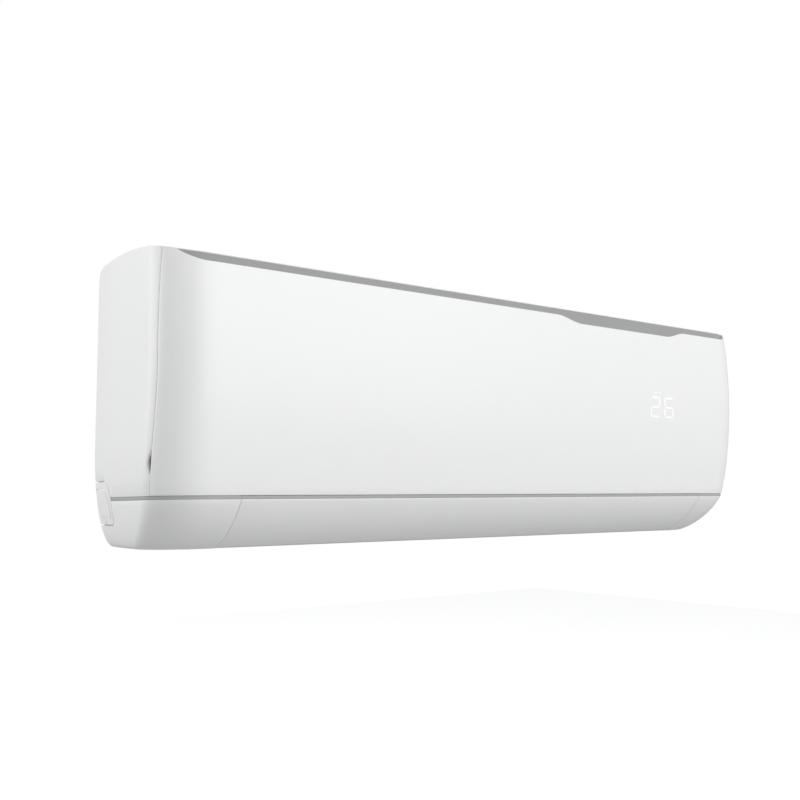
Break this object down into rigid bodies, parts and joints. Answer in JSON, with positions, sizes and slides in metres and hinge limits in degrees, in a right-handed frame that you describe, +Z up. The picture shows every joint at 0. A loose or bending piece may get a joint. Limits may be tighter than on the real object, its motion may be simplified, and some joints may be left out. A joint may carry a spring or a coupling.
{
  "type": "air conditioner indoor unit",
  "caption": "Wall-mounted indoor unit of a split air conditioner: bowed front panel that hinges open, swinging outlet louver, cross-flow fan, coil, filters and turning vanes.",
  "frame": {"origin": "middle of the mounting plate's wall face, on the wall", "axes": "+X to the right as the unit is faced, +Y into the wall, +Z up; the front faces -Y"},
  "size_m": [0.835, 0.1923, 0.285],
  "materials": {
    "mounting_plate": "zinc-plated sheet",
    "rear_chassis": "matt off-white moulding",
    "front_frame": "matt off-white moulding",
    "top_grille": "satin white moulding",
    "end_cover_right": "satin white moulding",
    "end_cover_left": "satin white moulding",
    "knockout_cover_right": "satin white moulding",
    "knockout_cover_left": "satin white moulding",
    "top_band": "satin silver-grey",
    "accent_strip": "satin silver-grey",
    "evaporator_front": "stacked aluminium fins",
    "evaporator_upper": "stacked aluminium fins",
    "evaporator_rear": "stacked aluminium fins",
    "tube_sheet_right": "zinc-plated sheet",
    "tube_sheet_left": "zinc-plated sheet",
    "gas_pipe": "drawn copper, bright",
    "liquid_pipe": "drawn copper, bright",
    "gas_flare_nut": "turned brass",
    "liquid_flare_nut": "turned brass",
    "pipe_clamp": "matt off-white moulding",
    "drain_pan": "matt off-white moulding",
    "drain_spigot": "matt off-white moulding",
    "drain_plug": "black rubber",
    "cross_flow_fan": "matt black moulding",
    "motor_shaft": "zinc-plated sheet",
    "stub_shaft": "zinc-plated sheet",
    "fan_motor": "zinc-plated sheet",
    "motor_bracket": "matt off-white moulding",
    "bearing_bush": "black rubber",
    "bearing_holder": "matt off-white moulding",
    "louver_motor": "zinc-plated sheet",
    "louver_bush": "matt off-white moulding",
    "air_filter_right": "grey woven mesh in a frame",
    "air_filter_left": "grey woven mesh in a frame",
    "control_box": "matt off-white moulding",
    "control_box_lid": "matt off-white moulding",
    "circuit_board": "green circuit board",
    "terminal_block": "matt black moulding",
    "display_housing": "matt black moulding",
    "display_board": "green circuit board",
    "button_board": "green circuit board",
    "emergency_button": "matt off-white moulding",
    "outlet_louver": "satin white moulding",
    "front_panel": "satin white moulding",
    "vane_left_1": "matt off-white moulding",
    "vane_left_2": "matt off-white moulding",
    "vane_left_3": "matt off-white moulding",
    "vane_left_4": "matt off-white moulding",
    "vane_left_5": "matt off-white moulding",
    "vane_left_6": "matt off-white moulding",
    "link_bar_left": "matt black moulding",
    "vane_right_1": "matt off-white moulding",
    "vane_right_2": "matt off-white moulding",
    "vane_right_3": "matt off-white moulding",
    "vane_right_4": "matt off-white moulding",
    "vane_right_5": "matt off-white moulding",
    "vane_right_6": "matt off-white moulding",
    "link_bar_right": "matt black moulding"
  },
  "bodies": {
    "base": {"mounting_plate": "mounting_plate", "rear_chassis": "rear_chassis", "front_frame": "front_frame", "top_grille": "top_grille", "end_cover_right": "end_cover_right", "end_cover_left": "end_cover_left", "knockout_cover_right": "knockout_cover_right", "knockout_cover_left": "knockout_cover_left", "top_band": "top_band", "accent_strip": "accent_strip", "evaporator_front": "evaporator_front", "evaporator_upper": "evaporator_upper", "evaporator_rear": "evaporator_rear", "tube_sheet_right": "tube_sheet_right", "tube_sheet_left": "tube_sheet_left", "gas_pipe": "gas_pipe", "liquid_pipe": "liquid_pipe", "gas_flare_nut": "gas_flare_nut", "liquid_flare_nut": "liquid_flare_nut", "pipe_clamp": "pipe_clamp", "drain_pan": "drain_pan", "drain_spigot": "drain_spigot", "drain_plug": "drain_plug", "fan_motor": "fan_motor", "motor_bracket": "motor_bracket", "bearing_bush": "bearing_bush", "bearing_holder": "bearing_holder", "louver_motor": "louver_motor", "louver_bush": "louver_bush", "control_box": "control_box", "control_box_lid": "control_box_lid", "circuit_board": "circuit_board", "terminal_block": "terminal_block", "display_housing": "display_housing", "display_board": "display_board", "button_board": "button_board"},
    "panel": {"front_panel": "front_panel"},
    "louver": {"outlet_louver": "outlet_louver"},
    "fan": {"cross_flow_fan": "cross_flow_fan", "motor_shaft": "motor_shaft", "stub_shaft": "stub_shaft"},
    "filter_left": {"air_filter_left": "air_filter_left"},
    "filter_right": {"air_filter_right": "air_filter_right"},
    "button": {"emergency_button": "emergency_button"},
    "vane_left_1": {"vane_left_1": "vane_left_1"},
    "vane_left_2": {"vane_left_2": "vane_left_2"},
    "vane_left_3": {"vane_left_3": "vane_left_3"},
    "vane_left_4": {"vane_left_4": "vane_left_4"},
    "vane_left_5": {"vane_left_5": "vane_left_5"},
    "vane_left_6": {"vane_left_6": "vane_left_6"},
    "link_left": {"link_bar_left": "link_bar_left"},
    "vane_right_1": {"vane_right_1": "vane_right_1"},
    "vane_right_2": {"vane_right_2": "vane_right_2"},
    "vane_right_3": {"vane_right_3": "vane_right_3"},
    "vane_right_4": {"vane_right_4": "vane_right_4"},
    "vane_right_5": {"vane_right_5": "vane_right_5"},
    "vane_right_6": {"vane_right_6": "vane_right_6"},
    "link_right": {"link_bar_right": "link_bar_right"}
  },
  "joints": [
    {"name": "panel_hinge", "type": "hinge", "parent": "base", "child": "panel", "pos_m": [0, -0.1575, 0.1025], "axis": [-1, 0, 0], "range_deg": [0, 60]},
    {"name": "louver_hinge", "type": "hinge", "parent": "base", "child": "louver", "pos_m": [0, -0.122, -0.149], "axis": [1, 0, 0], "range_deg": [0, 80]},
    {"name": "fan_spin", "type": "hinge", "parent": "base", "child": "fan", "pos_m": [0, -0.089, -0.051], "axis": [1, 0, 0], "continuous": true},
    {"name": "filter_left_slide", "type": "slide", "parent": "base", "child": "filter_left", "axis": [0, 0, 1], "range_m": [0, 0.2]},
    {"name": "filter_right_slide", "type": "slide", "parent": "base", "child": "filter_right", "axis": [0, 0, 1], "range_m": [0, 0.2]},
    {"name": "button_press", "type": "slide", "parent": "base", "child": "button", "axis": [0, 1, 0], "range_m": [0, 0.0012], "stiffness_N_per_m": 400},
    {"name": "vane_left_1_turn", "type": "hinge", "parent": "base", "child": "vane_left_1", "pos_m": [-0.286, -0.07717, -0.13368], "axis": [0, -0.6668, 0.7453], "range_deg": [-35, 35]},
    {"name": "vane_left_2_turn", "type": "hinge", "parent": "base", "child": "vane_left_2", "pos_m": [-0.234, -0.07717, -0.13368], "axis": [0, -0.6668, 0.7453], "range_deg": [-35, 35]},
    {"name": "vane_left_3_turn", "type": "hinge", "parent": "base", "child": "vane_left_3", "pos_m": [-0.182, -0.07717, -0.13368], "axis": [0, -0.6668, 0.7453], "range_deg": [-35, 35]},
    {"name": "vane_left_4_turn", "type": "hinge", "parent": "base", "child": "vane_left_4", "pos_m": [-0.13, -0.07717, -0.13368], "axis": [0, -0.6668, 0.7453], "range_deg": [-35, 35]},
    {"name": "vane_left_5_turn", "type": "hinge", "parent": "base", "child": "vane_left_5", "pos_m": [-0.078, -0.07717, -0.13368], "axis": [0, -0.6668, 0.7453], "range_deg": [-35, 35]},
    {"name": "vane_left_6_turn", "type": "hinge", "parent": "base", "child": "vane_left_6", "pos_m": [-0.026, -0.07717, -0.13368], "axis": [0, -0.6668, 0.7453], "range_deg": [-35, 35]},
    {"name": "link_left_turn", "type": "hinge", "parent": "vane_left_1", "child": "link_left", "pos_m": [-0.286, -0.09133, -0.14635], "axis": [0, -0.6668, 0.7453], "range_deg": [-35, 35]},
    {"name": "vane_right_1_turn", "type": "hinge", "parent": "base", "child": "vane_right_1", "pos_m": [0.286, -0.07717, -0.13368], "axis": [0, -0.6668, 0.7453], "range_deg": [-35, 35]},
    {"name": "vane_right_2_turn", "type": "hinge", "parent": "base", "child": "vane_right_2", "pos_m": [0.234, -0.07717, -0.13368], "axis": [0, -0.6668, 0.7453], "range_deg": [-35, 35]},
    {"name": "vane_right_3_turn", "type": "hinge", "parent": "base", "child": "vane_right_3", "pos_m": [0.182, -0.07717, -0.13368], "axis": [0, -0.6668, 0.7453], "range_deg": [-35, 35]},
    {"name": "vane_right_4_turn", "type": "hinge", "parent": "base", "child": "vane_right_4", "pos_m": [0.13, -0.07717, -0.13368], "axis": [0, -0.6668, 0.7453], "range_deg": [-35, 35]},
    {"name": "vane_right_5_turn", "type": "hinge", "parent": "base", "child": "vane_right_5", "pos_m": [0.078, -0.07717, -0.13368], "axis": [0, -0.6668, 0.7453], "range_deg": [-35, 35]},
    {"name": "vane_right_6_turn", "type": "hinge", "parent": "base", "child": "vane_right_6", "pos_m": [0.026, -0.07717, -0.13368], "axis": [0, -0.6668, 0.7453], "range_deg": [-35, 35]},
    {"name": "link_right_turn", "type": "hinge", "parent": "vane_right_1", "child": "link_right", "pos_m": [0.286, -0.09133, -0.14635], "axis": [0, -0.6668, 0.7453], "range_deg": [-35, 35]}
  ],
  "couplings": [
    {"joint": "vane_left_2_turn", "follows": "vane_left_1_turn", "ratio": 1},
    {"joint": "vane_left_3_turn", "follows": "vane_left_1_turn", "ratio": 1},
    {"joint": "vane_left_4_turn", "follows": "vane_left_1_turn", "ratio": 1},
    {"joint": "vane_left_5_turn", "follows": "vane_left_1_turn", "ratio": 1},
    {"joint": "vane_left_6_turn", "follows": "vane_left_1_turn", "ratio": 1},
    {"joint": "link_left_turn", "follows": "vane_left_1_turn", "ratio": -1},
    {"joint": "vane_right_2_turn", "follows": "vane_right_1_turn", "ratio": 1},
    {"joint": "vane_right_3_turn", "follows": "vane_right_1_turn", "ratio": 1},
    {"joint": "vane_right_4_turn", "follows": "vane_right_1_turn", "ratio": 1},
    {"joint": "vane_right_5_turn", "follows": "vane_right_1_turn", "ratio": 1},
    {"joint": "vane_right_6_turn", "follows": "vane_right_1_turn", "ratio": 1},
    {"joint": "link_right_turn", "follows": "vane_right_1_turn", "ratio": -1}
  ]
}
